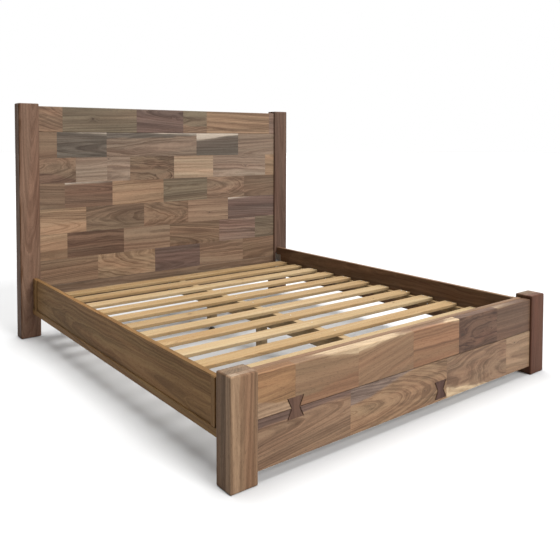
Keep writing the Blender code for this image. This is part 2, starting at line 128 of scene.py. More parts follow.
class Tree:
    """Short calls that add nodes to a material and link them."""

    def __init__(self, material):
        self.tree = material.node_tree
        self.shader = self.tree.nodes["Principled BSDF"]

    def add(self, kind, **settings):
        made = self.tree.nodes.new(kind)
        for key, value in settings.items():
            setattr(made, key, value)
        return made

    def feed(self, socket, value):
        if isinstance(value, bpy.types.NodeSocket):
            self.tree.links.new(value, socket)
        else:
            socket.default_value = value

    def math(self, operation, *values):
        made = self.add("ShaderNodeMath", operation=operation)
        for socket, value in zip(made.inputs, values):
            self.feed(socket, value)
        return made.outputs[0]

    def vector(self, operation, *values):
        made = self.add("ShaderNodeVectorMath", operation=operation)
        for socket, value in zip(made.inputs, values):
            self.feed(socket, value)
        return made.outputs[0]

    def scaled(self, vector, factor):
        made = self.add("ShaderNodeVectorMath", operation="SCALE")
        self.feed(made.inputs["Vector"], vector)
        self.feed(made.inputs["Scale"], factor)
        return made.outputs[0]

    def split(self, vector):
        made = self.add("ShaderNodeSeparateXYZ")
        self.feed(made.inputs[0], vector)
        return made.outputs

    def attribute(self, name, output="Vector"):
        return self.add("ShaderNodeAttribute", attribute_name=name).outputs[output]

    def noise(self, place, cells, detail=1.0, output="Fac"):
        """Noise in space, with so many cells in a metre along each axis."""
        place = self.vector("MULTIPLY", place, cells)
        made = self.add("ShaderNodeTexNoise", noise_dimensions="3D")
        self.feed(made.inputs["Vector"], place)
        made.inputs["Scale"].default_value = 1.0
        made.inputs["Detail"].default_value = detail
        return made.outputs[output]

    def bands(self, place, detail=1.0):
        """Noise along a line, with cells of one unit."""
        made = self.add("ShaderNodeTexNoise", noise_dimensions="1D")
        self.feed(made.inputs["W"], place)
        made.inputs["Scale"].default_value = 1.0
        made.inputs["Detail"].default_value = detail
        return made.outputs["Fac"]

    def ramp(self, value, low, high, smooth=True):
        """0 below low and 1 above high."""
        made = self.add("ShaderNodeMapRange")
        made.interpolation_type = "SMOOTHSTEP" if smooth else "LINEAR"
        for key, part in (("Value", value), ("From Min", low), ("From Max", high)):
            self.feed(made.inputs[key], part)
        return made.outputs["Result"]

    def full(self, value):
        """Noise spread over the whole way from 0 to 1."""
        return self.ramp(value, 0.28, 0.72, smooth=False)

    def mix(self, factor, low, high, blend="MIX"):
        made = self.add("ShaderNodeMix", data_type="RGBA", blend_type=blend)
        self.feed(made.inputs["Factor"], factor)
        self.feed(made.inputs["A"], low)
        self.feed(made.inputs["B"], high)
        return made.outputs["Result"]

    def tinted(self, colour, tint):
        return self.mix(1.0, colour, tint, "MULTIPLY")

    def bump(self, height, strength, distance):
        made = self.add("ShaderNodeBump")
        made.inputs["Strength"].default_value = strength
        made.inputs["Distance"].default_value = distance
        self.feed(made.inputs["Height"], height)
        self.feed(self.shader.inputs["Normal"], made.outputs["Normal"])


def new_material(name):
    made = bpy.data.materials.new(name)
    made.use_nodes = True
    return made, Tree(made)


# What the wood's shader reads from each board: its place in the trunk, its two colours, its figure, and where
# its edges and its end grain are.
BOARD_FIELDS = {
    "grain": "FLOAT_VECTOR",
    "figure": "FLOAT_VECTOR",
    "knot": "FLOAT_VECTOR",
    "tone": "FLOAT_COLOR",
    "stain_and_shade_tone": "FLOAT_COLOR",
    "sap": "FLOAT",
    "stain_and_shade": "FLOAT",
    "edge": "FLOAT",
    "end": "FLOAT",
}


# Patterns in the wood, in cells to the metre along the grain, across it and through the board.
SLOW_WAVES = (2.0, 8.0, 8.0)
QUICK_WAVES = (11.0, 26.0, 26.0)
DRIFT = (0.9, 11.0, 11.0)
PATCHES = (1.1, 17.0, 17.0)
STREAKS = (1.3, 48.0, 48.0)
MINERALS = (1.7, 75.0, 75.0)
FIBRES = (24.0, 520.0, 520.0)
PORES = (55.0, 900.0, 900.0)
EDGE_WOBBLE = (5.0, 26.0, 26.0)

# Tints that multiply the wood's colour. Faces across the grain, such as the posts' tops, are tinted paler and
# greyer: a painted highlight of the light from above and its sheen.
ASHEN = (0.97, 1.02, 1.00, 1.0)
ROSY = (1.05, 0.98, 0.94, 1.0)
GROWTH_LINE = (0.52, 0.44, 0.38, 1.0)
# Painted shade near the edges of faces, where boards meet.
EDGE_PAINTED_SHADE = (0.5, 0.45, 0.4, 1.0)
END_GRAIN_PAINTED_SHEEN = (1.28, 1.50, 1.75, 1.0)
PORE_COLOUR = (0.02, 0.012, 0.008, 1.0)

KNOT_REACH = 2.6
COAT_ROUGHNESS = 0.32


def wood_material(
    name, gloss, strength=1.0, line=0.34, hue=1.0, specular=0.22, coat=0.03,
    light=1.26, dark=(0.66, 0.62, 0.60), cast=(1.0, 1.0, 1.0), pale="cream",
):
    """Solid wood: growth rings round the trunk's pith, bent by slow waves and a knot, with fibres and pores."""
    material, t = new_material(name)
    place = t.attribute("grain")
    rings, wave, contrast = t.split(t.attribute("figure"))
    contrast = t.math("MULTIPLY", contrast, strength)
    knot_along, knot_across, knot_radius = t.split(t.attribute("knot"))

    middle = (0.5, 0.5, 0.5)
    slow = t.vector("SUBTRACT", t.noise(place, SLOW_WAVES, 2.0, "Color"), middle)
    quick = t.vector("SUBTRACT", t.noise(place, QUICK_WAVES, 1.0, "Color"), middle)
    slow = t.scaled(slow, t.math("MULTIPLY", wave, 3.0))
    quick = t.scaled(quick, t.math("MULTIPLY", wave, 0.55))
    bent = t.vector("ADD", place, t.vector("ADD", slow, quick))
    along, across, deep = t.split(bent)

    # A knot pushes the rings round it outwards.
    from_knot = t.math(
        "SQRT",
        t.math(
            "ADD",
            t.math("POWER", t.math("MULTIPLY", t.math("SUBTRACT", along, knot_along), 0.55), 2.0),
            t.math("POWER", t.math("SUBTRACT", across, knot_across), 2.0),
        ),
    )
    reach = t.math("DIVIDE", from_knot, t.math("MULTIPLY_ADD", knot_radius, KNOT_REACH, 0.0005))
    round_knot = t.math("EXPONENT", t.math("MULTIPLY", t.math("POWER", reach, 2.0), -1.0))
    radius = t.math("SQRT", t.math("ADD", t.math("POWER", across, 2.0), t.math("POWER", deep, 2.0)))
    radius = t.math("MULTIPLY_ADD", t.math("MULTIPLY", round_knot, knot_radius), KNOT_REACH, radius)

    # Light and dark wood, from the slowest change to the finest.
    phase = t.math("MULTIPLY", radius, rings)
    drift = t.full(t.noise(bent, DRIFT, 1.0))
    broad = t.full(t.bands(t.math("MULTIPLY", phase, 0.45), 1.0))
    growth = t.full(t.bands(t.math("MULTIPLY", phase, 2.0), 1.0))
    fine = t.full(t.bands(t.math("MULTIPLY", phase, 6.0), 1.0))
    streak = t.full(t.noise(bent, STREAKS, 2.5))
    fibre = t.noise(place, FIBRES, 1.0)
    shares = ((drift, 0.20), (broad, 0.22), (growth, 0.24), (streak, 0.32), (fine, 0.12), (fibre, 0.14))
    value = 0.0
    for part, share in shares:
        value = t.math("MULTIPLY_ADD", t.math("SUBTRACT", part, 0.5), share, value)
    value = t.ramp(t.math("MULTIPLY_ADD", value, contrast, 0.5), 0.0, 1.0, smooth=False)

    base = t.attribute("tone", "Color")
    lightest = (*(light * part for part in cast), 1.0)
    darkest = (*(share * part for share, part in zip(dark, cast)), 1.0)
    light_wood = t.tinted(base, lightest)
    dark_wood = t.tinted(base, darkest)
    colour = t.mix(value, dark_wood, light_wood)
    patches = t.full(t.noise(bent, PATCHES, 1.0))
    colour = t.mix(hue, colour, t.mix(patches, ASHEN, ROSY), "MULTIPLY")

    # Bands of other heartwood along an edge of the board, and on the left head post one band of painted shade,
    # then sapwood.
    wobble = t.noise(place, EDGE_WOBBLE, 2.5)
    shift = t.math("SUBTRACT", wobble, 0.5)
    stain_and_shade_wood = t.attribute("stain_and_shade_tone", "Color")
    stain_and_shade_colour = t.mix(value, t.tinted(stain_and_shade_wood, darkest), t.tinted(stain_and_shade_wood, lightest))
    stain_and_shade_edge = t.math("MULTIPLY_ADD", shift, 0.050, t.attribute("stain_and_shade", "Fac"))
    colour = t.mix(t.ramp(stain_and_shade_edge, -0.007, 0.007), colour, stain_and_shade_colour)
    sapwood = t.mix(value, tone(pale, 0.72), tone(pale, 1.12))
    sap_edge = t.math("MULTIPLY_ADD", shift, 0.030, t.attribute("sap", "Fac"))
    colour = t.mix(t.math("MULTIPLY", t.ramp(sap_edge, -0.014, 0.0), 0.30), colour, sapwood)
    colour = t.mix(t.ramp(sap_edge, -0.002, 0.003), colour, sapwood)

    # Thin dark growth lines and streaks of mineral.
    lines = t.ramp(t.bands(t.math("MULTIPLY", phase, 2.9), 0.0), 0.58, 0.70)
    minerals = t.ramp(t.noise(bent, MINERALS, 1.5), 0.60, 0.72)
    marks = t.math("MULTIPLY", t.math("MAXIMUM", lines, minerals), t.math("MULTIPLY", contrast, line * 0.55))
    colour = t.mix(t.ramp(marks, 0.0, 1.0, smooth=False), colour, t.tinted(colour, GROWTH_LINE))

    # The knot, the pores, painted shade along the edges of each face, and a painted highlight on end grain.
    there = t.ramp(knot_radius, 0.0, 0.002)
    heart = t.math("MULTIPLY", t.ramp(from_knot, knot_radius, t.math("MULTIPLY", knot_radius, 0.5)), 0.75)
    halo = t.math("MULTIPLY", t.math("MULTIPLY", round_knot, there), 0.5)
    colour = t.mix(halo, colour, dark_wood)
    colour = t.mix(t.math("MULTIPLY", heart, there), colour, tone("umber", 0.34))
    pores = t.ramp(t.noise(bent, PORES, 0.0), 0.64, 0.72)
    colour = t.mix(t.math("MULTIPLY", pores, 0.35), colour, PORE_COLOUR)
    # Painted shade: each face is darkened in patches near its edges, standing in for the shade in the joints
    # between boards.
    edge_shade = t.math("MULTIPLY", t.math("POWER", t.attribute("edge", "Fac"), 2.0), t.ramp(wobble, 0.35, 0.6))
    colour = t.mix(t.math("MULTIPLY", edge_shade, 0.22), colour, t.tinted(colour, EDGE_PAINTED_SHADE))
    # Painted highlight: faces across the grain, such as the posts' tops, turn paler and greyer as if lit from
    # above with a sheen.
    colour = t.mix(t.attribute("end", "Fac"), colour, t.tinted(colour, END_GRAIN_PAINTED_SHEEN))
    t.feed(t.shader.inputs["Base Color"], colour)

    rough = t.math("MULTIPLY_ADD", value, -0.07, gloss + 0.05)
    rough = t.math("MULTIPLY_ADD", fibre, 0.08, rough)
    t.feed(t.shader.inputs["Roughness"], t.math("MULTIPLY_ADD", pores, 0.15, rough))
    t.shader.inputs["Specular IOR Level"].default_value = specular
    t.shader.inputs["Coat Weight"].default_value = coat
    t.shader.inputs["Coat Roughness"].default_value = COAT_ROUGHNESS
    height = t.math("MULTIPLY_ADD", fine, 0.35, t.math("MULTIPLY", fibre, 0.5))
    t.bump(t.math("MULTIPLY_ADD", pores, -0.6, height), 0.35, 0.0004)
    return material


def zinc_material():
    """Bright zinc plating: a soft spangle, fine rolling marks and a few scuffs."""
    material, t = new_material("zinc_plated_steel")
    place = t.add("ShaderNodeTexCoord").outputs["Object"]
    spangle = t.noise(place, (160.0, 160.0, 160.0), 2.0)
    marks = t.noise(place, (900.0, 40.0, 1300.0), 1.0)
    dull = t.ramp(t.noise(place, (35.0, 35.0, 35.0), 2.0), 0.42, 0.62)
    colour = t.mix(spangle, (0.44, 0.45, 0.46, 1.0), (0.64, 0.65, 0.64, 1.0))
    colour = t.mix(t.math("MULTIPLY", dull, 0.5), colour, (0.38, 0.38, 0.37, 1.0))
    t.feed(t.shader.inputs["Base Color"], colour)
    rough = t.math("MULTIPLY_ADD", dull, 0.18, 0.26)
    t.feed(t.shader.inputs["Roughness"], t.math("MULTIPLY_ADD", marks, 0.12, rough))
    t.shader.inputs["Metallic"].default_value = 1.0
    t.bump(t.math("MULTIPLY_ADD", spangle, 0.5, t.math("MULTIPLY", marks, 0.5)), 0.25, 0.00015)
    return material


def plastic_material():
    """Black moulded polypropylene with a fine spark-eroded grain and pale scuffs near the floor."""
    material, t = new_material("black_moulded_plastic")
    place = t.add("ShaderNodeTexCoord").outputs["Object"]
    grain = t.noise(place, (1400.0, 1400.0, 1400.0), 2.0)
    scuffs = t.ramp(t.noise(place, (240.0, 240.0, 60.0), 2.0), 0.56, 0.72)
    low = t.ramp(t.split(place)[Z], 0.006, 0.0)
    worn = t.math("MULTIPLY", t.math("MULTIPLY", scuffs, low), 0.5)
    colour = t.mix(grain, (0.018, 0.018, 0.019, 1.0), (0.034, 0.034, 0.035, 1.0))
    t.feed(t.shader.inputs["Base Color"], t.mix(worn, colour, (0.11, 0.11, 0.105, 1.0)))
    t.feed(t.shader.inputs["Roughness"], t.math("MULTIPLY_ADD", grain, 0.16, 0.46))
    t.bump(grain, 0.30, 0.00012)
    return material


POST_WOOD = wood_material("lacquered_post_wood", 0.50, specular=0.12, coat=0.0)
HEAD_WOOD = wood_material(
    "lacquered_headboard_wood", 0.50, strength=1.45, cast=(1.12, 1.22, 1.36), pale="bone"
)
FOOT_WOOD = wood_material("lacquered_footboard_wood", 0.46, strength=1.3)
KEY_WOOD = wood_material("lacquered_key_wood", 0.44, hue=0.5)
RAIL_WOOD = wood_material("lacquered_rail_wood", 0.54, specular=0.10, coat=0.0)
BORDER_WOOD = wood_material("lacquered_border_wood", 0.54, specular=0.10, coat=0.0)
BACKING_WOOD = wood_material("oiled_backing_wood", 0.60, specular=0.2, coat=0.0)
PINE = wood_material(
    "bare_pine", 0.64, line=0.22, hue=0.4, specular=0.2, coat=0.0, light=1.12, dark=(0.86, 0.76, 0.62)
)
ZINC = zinc_material()
PLASTIC = plastic_material()


# --------------------------------------------------------------------------------------------------
# Boards.

# Rings in a metre, sway of the grain in metres, and contrast.
FIGURES = {
    "plain": (60.0, 0.007, 1.6),
    "striped": (95.0, 0.005, 2.2),
    "wavy": (60.0, 0.014, 2.0),
    "curly": (55.0, 0.026, 2.1),
    "burl": (70.0, 0.028, 3.4),
    "cathedral": (75.0, 0.010, 2.3),
    "quiet": (45.0, 0.005, 1.1),
    "post": (85.0, 0.006, 1.8),
    "pine": (150.0, 0.004, 2.0),
}


@dataclass
class Board:
    """One board of a piece. Its end is where it stops along the direction in which the piece is divided. The
    last board runs on to the end of the piece, whatever its own end says."""

    end: float
    tone: str
    figure: str = "plain"
    pith: tuple = None  # how far the trunk's pith is from the board's middle: (across, deep)
    lean: tuple = None  # how much the pith drifts in a metre: (across, deep)
    knot: tuple = (0.0, 0.0, 0.0)  # place along the grain, place across it, radius
    sap: tuple = None  # width of a sapwood edge at the board's two ends; negative where it runs out
    sap_side: int = 1  # 1 for the high edge and -1 for the low one
    stain_and_shade: tuple = None  # (tone, width at one end, width at the other)
    stain_side: int = 1


# Points of the CAD's solids closer than this are one point, and faces that meet at less than this are flat.
SAME_POINT = 0.00002
FLAT = math.radians(0.6)
ON_THE_CUT = 0.000001


def solid_of(node):
    """A clean copy of a CAD node's solid, with whole flat faces."""
    bm = bmesh.new()
    bm.from_mesh(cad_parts[node].data)
    bmesh.ops.remove_doubles(bm, verts=bm.verts, dist=SAME_POINT)
    bmesh.ops.dissolve_limit(
        bm, angle_limit=FLAT, verts=bm.verts, edges=bm.edges, use_dissolve_boundaries=False
    )
    return bm


def keep_between(bm, axis, low, high):
    """Cuts the solid at two planes across an axis, and closes it again."""
    for place, way in ((low, -1.0), (high, 1.0)):
        if place is None:
            continue
        normal = Vector((0.0, 0.0, 0.0))
        normal[axis] = way
        point = Vector((0.0, 0.0, 0.0))
        point[axis] = place
        geometry = bm.verts[:] + bm.edges[:] + bm.faces[:]
        bmesh.ops.bisect_plane(
            bm, geom=geometry, dist=ON_THE_CUT, plane_co=point, plane_no=normal, clear_outer=True
        )
        bmesh.ops.holes_fill(bm, edges=[e for e in bm.edges if e.is_boundary], sides=0)
    bmesh.ops.recalc_face_normals(bm, faces=bm.faces)


def turned_edges(bm, low, high):
    """The convex edges whose two faces meet at an angle from low to high, in degrees."""
    found = []
    for edge in bm.edges:
        if len(edge.link_faces) == 2:
            angle = math.degrees(edge.calc_face_angle_signed())
            if low < angle < high:
                found.append(edge)
    return found


def flat_groups(bm, least_width):
    """Sets of faces that form one flat surface, wide enough for a border."""
    seen = set()
    for first in bm.faces:
        if first in seen:
            continue
        group, queue = [], [first]
        seen.add(first)
        while queue:
            face = queue.pop()
            group.append(face)
            for edge in face.edges:
                for other in edge.link_faces:
                    if other not in seen and face.normal.dot(other.normal) > 0.99999:
                        seen.add(other)
                        queue.append(other)
        points = [v.co for face in group for v in face.verts]
        spans = sorted(max(p[a] for p in points) - min(p[a] for p in points) for a in (X, Y, Z))
        if spans[1] > least_width:
            yield group


# Widths in metres: the border marked round a face, and the narrowest face that has one.
BORDER = 0.0018
LEAST_WIDTH = 0.018

# How far edges are rounded, in metres.
FACET_RADIUS = 0.0009
GLUED_RADIUS = 0.0002
SEAM_RADIUS = 0.0003
EASED = {
    "board": 0.0008, "key": 0.0006, "post": 0.0006, "rail": 0.002, "moulding": 0.001, "slat": 0.001,
    "cleat": 0.0015, "beam": 0.002, "leg": 0.001, "steel": 0.0004,
}

# How far two faces turn at an edge, in degrees: at a facet of the CAD's own rounding, at an edge to be eased,
# and where the shading stays smooth.
FACET_TURNS = (12.0, 50.0)
SHARP_TURNS = (55.0, 150.0)
SMOOTH_BELOW = 42.0


def ease(bm, edges, radius, segments):
    """Rounds some edges, as far as there is room."""
    if edges:
        bmesh.ops.bevel(
            bm, geom=edges, offset=radius, segments=segments, profile=0.5, affect="EDGES", clamp_overlap=True
        )


def at_joint(edge, axis, joints):
    """Whether an edge lies where two boards are glued."""
    near = GLUED_RADIUS * 1.5
    return any(all(abs(v.co[axis] - joint) < near for v in edge.verts) for joint in joints)


def finish_edges(bm, radius, axis, joints):
    """Rounds the facets of the CAD's own rounding, eases the sharp edges, hardly at all where boards are glued,
    and marks a border round each face. Gives the set of the vertices inside the borders."""
    ease(bm, turned_edges(bm, *FACET_TURNS), FACET_RADIUS, 2)
    ease(bm, [e for e in turned_edges(bm, *SHARP_TURNS) if at_joint(e, axis, joints)], GLUED_RADIUS, 1)
    ease(bm, [e for e in turned_edges(bm, *SHARP_TURNS) if not at_joint(e, axis, joints)], radius, 3)
    inside = set()
    for group in list(flat_groups(bm, LEAST_WIDTH)):
        bmesh.ops.inset_region(
            bm, faces=group, thickness=BORDER, use_boundary=True, use_even_offset=True
        )
        inside.update(v for face in group for v in face.verts)
    return inside


def edge_field(ends, side, board_low, board_high, along, across, low, high):
    """How far a point is inside a board's edge band, whose width changes evenly from end to end."""
    if ends is None:
        return -1.0
    share = (along - board_low) / (board_high - board_low)
    width = ends[0] + (ends[1] - ends[0]) * share
    return width - (high - across if side > 0 else across - low)


def build_wood(name, node, boards, finish, slot, divide=X, grain=X, across=Z, radius=EASED["board"]):
    """A wooden piece cut from a CAD node's solid and divided into boards along one axis. The grain runs along
    another, or the same."""
    deep = 3 - grain - across
    low_corner, high_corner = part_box(node)
    rng = random.Random(name)
    verts, faces = [], []
    fields = {field: [] for field in BOARD_FIELDS}
    start = None
    for index, board in enumerate(boards):
        last = index == len(boards) - 1
        bm = solid_of(node)
        stop = None if last else board.end
        keep_between(bm, divide, start, stop)
        inside = finish_edges(bm, radius, divide, [place for place in (start, stop) if place is not None])
        low = Vector(min(v.co[a] for v in bm.verts) for a in (X, Y, Z))
        high = Vector(max(v.co[a] for v in bm.verts) for a in (X, Y, Z))
        middle = (low + high) / 2
        offset = rng.uniform(5.0, 60.0)
        pith = board.pith or (rng.uniform(-0.10, 0.10), rng.choice((-1, 1)) * rng.uniform(0.035, 0.12))
        lean = board.lean or (rng.uniform(-0.05, 0.05), rng.uniform(-0.06, 0.06))

        def in_trunk(point, middle=middle, offset=offset, pith=pith, lean=lean):
            along = point[grain] - middle[grain]
            return (
                along + offset,
                point[across] - middle[across] + pith[0] + lean[0] * along,
                point[deep] - middle[deep] + pith[1] + lean[1] * along,
            )

        knot_place = Vector(middle)
        knot_place[grain] = board.knot[0]
        knot_place[across] = board.knot[1]
        knot = (*in_trunk(knot_place)[:2], board.knot[2])
        main = tone(board.tone, rng.uniform(0.95, 1.05))
        stain_and_shade = board.stain_and_shade or (board.tone, -1.0, -1.0)
        first = len(verts)
        bm.verts.index_update()
        for v in bm.verts:
            p = v.co
            verts.append(tuple(p))
            fields["grain"].append(in_trunk(p))
            fields["figure"].append(FIGURES[board.figure])
            fields["knot"].append(knot)
            fields["tone"].append(main)
            fields["stain_and_shade_tone"].append(tone(stain_and_shade[0]))
            ends = (low[grain], high[grain], p[grain], p[across], low_corner[across], high_corner[across])
            fields["sap"].append(edge_field(board.sap, board.sap_side, *ends))
            fields["stain_and_shade"].append(edge_field(stain_and_shade[1:], board.stain_side, *ends))
            fields["edge"].append(0.0 if v in inside else 1.0)
            fields["end"].append(float(all(abs(face.normal[grain]) > 0.999 for face in v.link_faces)))
        faces += [[first + v.index for v in face.verts] for face in bm.faces]
        bm.free()
        start = board.end
    mesh = bpy.data.meshes.new(name)
    mesh.from_pydata(verts, [], faces)
    for field, kind in BOARD_FIELDS.items():
        layer = mesh.attributes.new(field, kind, "POINT")
        if kind == "FLOAT":
            layer.data.foreach_set("value", fields[field])
        else:
            key = "vector" if kind == "FLOAT_VECTOR" else "color"
            layer.data.foreach_set(key, [part for item in fields[field] for part in item])
    return add_piece(name, mesh, finish, slot, "frame", node)


def add_piece(name, mesh, finish, slot, body, *nodes):
    """A finished piece that rides on a body and stands for some CAD nodes."""
    obj = bpy.data.objects.new(name, mesh)
    bpy.context.scene.collection.objects.link(obj)
    mesh.materials.append(finish)
    mesh.shade_smooth()
    mesh.set_sharp_from_angle(angle=math.radians(SMOOTH_BELOW))
    normals = obj.modifiers.new("flat_faces", "WEIGHTED_NORMAL")
    normals.keep_sharp = True
    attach(obj, body)
    if nodes:
        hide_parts(*nodes)
    return obj


# --------------------------------------------------------------------------------------------------
# Footboard.

FOOT_UPPER = (
    Board(-0.725, "honey", "wavy", stain_and_shade=("straw", 0.070, 0.030), stain_side=-1),
    Board(-0.385, "tan", "quiet", stain_and_shade=("rust", 0.030, 0.070), stain_side=-1, sap=(-0.024, 0.024)),
    Board(-0.039, "tan", "quiet", lean=(-0.16, 0.05), sap=(0.022, -0.010)),
    Board(0.291, "rust", "wavy", sap=(-0.026, 0.006)),
    Board(0.605, "bark", "burl", pith=(0.006, 0.004), lean=(0.0, 0.24), knot=(0.316, 0.325, 0.010)),
    Board(0.908, "umber", "plain", sap=(-0.004, -0.014)),
)
# The joint beside the right key stands this far clear of the key, so that no sliver of its pocket is cut off.
JOINT_TO_KEY = 0.0055

FOOT_LOWER = (
    Board(-0.430, "oak", "striped", stain_and_shade=("plum", 0.046, 0.026)),
    Board(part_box("key_right")[1].x + JOINT_TO_KEY, "tan", "cathedral", pith=(0.016, 0.084), lean=(0.02, 0.20),
          knot=(0.040, 0.118, 0.004), stain_and_shade=("lilac", 0.080, -0.030)),
    Board(0.690, "oak", "curly", pith=(0.035, 0.110), lean=(0.0, -0.20), sap=(0.046, -0.022), sap_side=-1),
    Board(0.908, "straw", "plain", knot=(0.765, 0.200, 0.004), stain_and_shade=("tan", 0.030, 0.012), stain_side=-1),
)
FOOT_STAVES = (
    Board(0.105, "brown", "plain"),
    Board(0.165, "tan", "striped"),
    Board(0.225, "walnut", "plain"),
    Board(0.285, "oak", "striped"),
    Board(0.345, "rose", "plain"),
    Board(1.0, "oak", "plain"),
)
KEY_TONES = {"key_left": "key", "key_right": "dark_key"}


def make_footboard():
    for place, boards in (("upper", FOOT_UPPER), ("lower", FOOT_LOWER)):
        node = "foot_plank_" + place
        build_wood(node + "_blocks", node, boards, FOOT_WOOD, "footboard_wood", radius=SEAM_RADIUS)
    build_wood("foot_backing_staves", "foot_backing_board", FOOT_STAVES, BACKING_WOOD, "backing_wood", divide=Z)
    for key, look in KEY_TONES.items():
        butterfly = (Board(0.0, look, "post"),)
        build_wood(
            key + "_butterfly", key, butterfly, KEY_WOOD, "key_wood", grain=Z, across=X, radius=EASED["key"]
        )


# --------------------------------------------------------------------------------------------------
# Headboard, from its top course down.

HEAD_COURSES = (
    (
        Board(-0.794, "brown", "wavy", lean=(0.10, 0.20)),
        Board(-0.268, "olive", "plain", knot=(-0.59, 1.375, 0.007)),
        Board(0.105, "plum", "striped", knot=(0.03, 1.40, 0.004)),
        Board(0.308, "olive", "curly", stain_and_shade=("brown", 0.06, 0.05), stain_side=-1),
        Board(0.901, "tan", "striped"),
        Board(0.949, "rose", "plain"),
    ),
    (
        Board(-0.833, "brown", "quiet"),
        Board(-0.492, "slate", "striped", sap=(0.004, 0.019)),
        Board(0.218, "fawn", "wavy", stain_and_shade=("slate", 0.050, 0.025), sap=(-0.006, 0.020)),
        Board(0.596, "slate", "plain", sap=(0.062, 0.018)),
        Board(0.949, "fawn", "plain"),
    ),
    (
        Board(-0.708, "walnut", "curly", lean=(-0.12, 0.22), stain_and_shade=("umber", 0.08, 0.02), stain_side=-1),
        Board(-0.489, "sand", "plain"),
        Board(-0.320, "sand", "wavy", knot=(-0.475, 1.105, 0.004)),
        Board(0.027, "walnut", "burl", lean=(0.04, 0.24)),
        Board(0.364, "straw", "plain"),
        Board(0.861, "sand", "wavy", knot=(0.66, 1.04, 0.005)),
        Board(0.949, "tan", "plain"),
    ),
    (
        Board(-0.784, "walnut", "plain"),
        Board(-0.452, "umber", "striped", sap=(0.014, 0.004)),
        Board(-0.060, "tan", "wavy"),
        Board(0.310, "olive", "striped"),
        Board(0.655, "oak", "wavy", lean=(0.02, 0.20)),
        Board(0.949, "walnut", "plain"),
    ),
    (
        Board(-0.640, "tan", "striped"),
        Board(-0.215, "walnut", "wavy"),
        Board(0.145, "brown", "curly", lean=(0.05, -0.20)),
        Board(0.500, "oak", "plain", knot=(0.33, 0.70, 0.005)),
        Board(0.949, "plum", "striped", sap=(0.012, -0.008)),
    ),
    (
        Board(-0.770, "tan", "plain"),
        Board(-0.370, "umber", "curly"),
        Board(-0.010, "oak", "plain"),
        Board(0.420, "brown", "striped"),
        Board(0.760, "rose", "wavy"),
        Board(0.949, "olive", "plain"),
    ),
    (
        Board(-0.560, "brown", "striped"),
        Board(-0.130, "tan", "wavy", lean=(0.03, 0.20)),
        Board(0.245, "plum", "plain"),
        Board(0.640, "oak", "wavy"),
        Board(0.949, "brown", "plain"),
    ),
)
BACK_STAVES = (
    ("oak", "plain"), ("brown", "striped"), ("tan", "plain"), ("walnut", "wavy"), ("oak", "striped"),
    ("rose", "plain"), ("brown", "plain"), ("tan", "striped"), ("oak", "plain"), ("walnut", "plain"),
)


def make_headboard():
    for number, boards in enumerate(HEAD_COURSES, start=1):
        node = f"head_course_{number}"
        build_wood(node + "_blocks", node, boards, HEAD_WOOD, "headboard_wood", radius=SEAM_RADIUS)
    rail = (Board(0.0, "walnut", "plain"),)
    build_wood(
        "head_lower_rail_board", "head_lower_rail", rail, HEAD_WOOD, "headboard_wood", radius=EASED["rail"]
    )
    low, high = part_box("head_backing_board")
    step = (high.z - low.z) / len(BACK_STAVES)
    staves = [Board(low.z + (i + 1) * step, *look) for i, look in enumerate(BACK_STAVES)]
    build_wood("head_backing_staves", "head_backing_board", staves, BACKING_WOOD, "backing_wood", divide=Z)


# --------------------------------------------------------------------------------------------------
# Posts and side rails.

# Each post is glued up from staves one behind the other, with joints at these places from front to back. They
# lie in the panel's groove where they meet it.
FOOT_FRONT_JOINT = -1.101
FOOT_BACK_JOINT = -1.070
HEAD_JOINT = 1.079
POST_STAVES = {
    "foot_post_left": (
        Board(
            FOOT_FRONT_JOINT, "oak", "post", stain_and_shade=("straw", 0.036, 0.042), stain_side=-1, pith=(0.020, 0.09)
        ),
        Board(FOOT_BACK_JOINT, "walnut", "post"),
        Board(0.0, "brown", "post"),
    ),
    "foot_post_right": (
        Board(FOOT_FRONT_JOINT, "wine", "post"),
        Board(FOOT_BACK_JOINT, "umber", "post"),
        Board(0.0, "walnut", "post"),
    ),
    # Painted shade: the left head post's back stave and a band along its front stave's left edge are cocoa,
    # which darkens the post's left side.
    "head_post_left": (
        Board(HEAD_JOINT, "rose", "post", stain_and_shade=("cocoa", 0.006, 0.006), stain_side=-1),
        Board(0.0, "cocoa", "post"),
    ),
    "head_post_right": (Board(HEAD_JOINT, "plum", "post"), Board(0.0, "umber", "post")),
}
RAIL_TONES = {"left": "tawny", "right": "oak"}


def make_posts():
    for node, staves in POST_STAVES.items():
        build_wood(
            node + "_staves", node, staves, POST_WOOD, "post_wood",
            divide=Y, grain=Z, across=X, radius=EASED["post"],
        )


def make_rails():
    for word in SIDES:
        rail = (Board(0.0, RAIL_TONES[word], "wavy"),)
        build_wood(
            f"side_rail_{word}_board", "side_rail_" + word, rail, RAIL_WOOD, "rail_wood",
            grain=Y, across=Z, radius=EASED["rail"],
        )
        strip = (Board(0.0, RAIL_TONES[word], "plain"),)
        build_wood(
            f"rail_strip_{word}_moulding", "rail_strip_" + word, strip, BORDER_WOOD, "border_wood",
            grain=Y, across=Z, radius=EASED["moulding"],
        )
        for end in ENDS:
            stile = f"rail_stile_{end}_{word}"
            build_wood(
                stile + "_moulding", stile, strip, BORDER_WOOD, "border_wood",
                grain=Z, across=Y, radius=EASED["moulding"],
            )


# --------------------------------------------------------------------------------------------------
# Slats, cleats, centre beam and legs.


# Knots of the slats: how far from the middle they reach, how near an edge they come, and their radii.
SLAT_KNOT_REACH = 0.9
SLAT_KNOT_MARGIN = 0.02
SLAT_KNOTS = (0.0, 0.004, 0.006, 0.009)


def build_pine(node, board, grain, across, radius):
    build_wood(node + "_pine", node, (board,), PINE, "plain_wood", grain=grain, across=across, radius=radius)


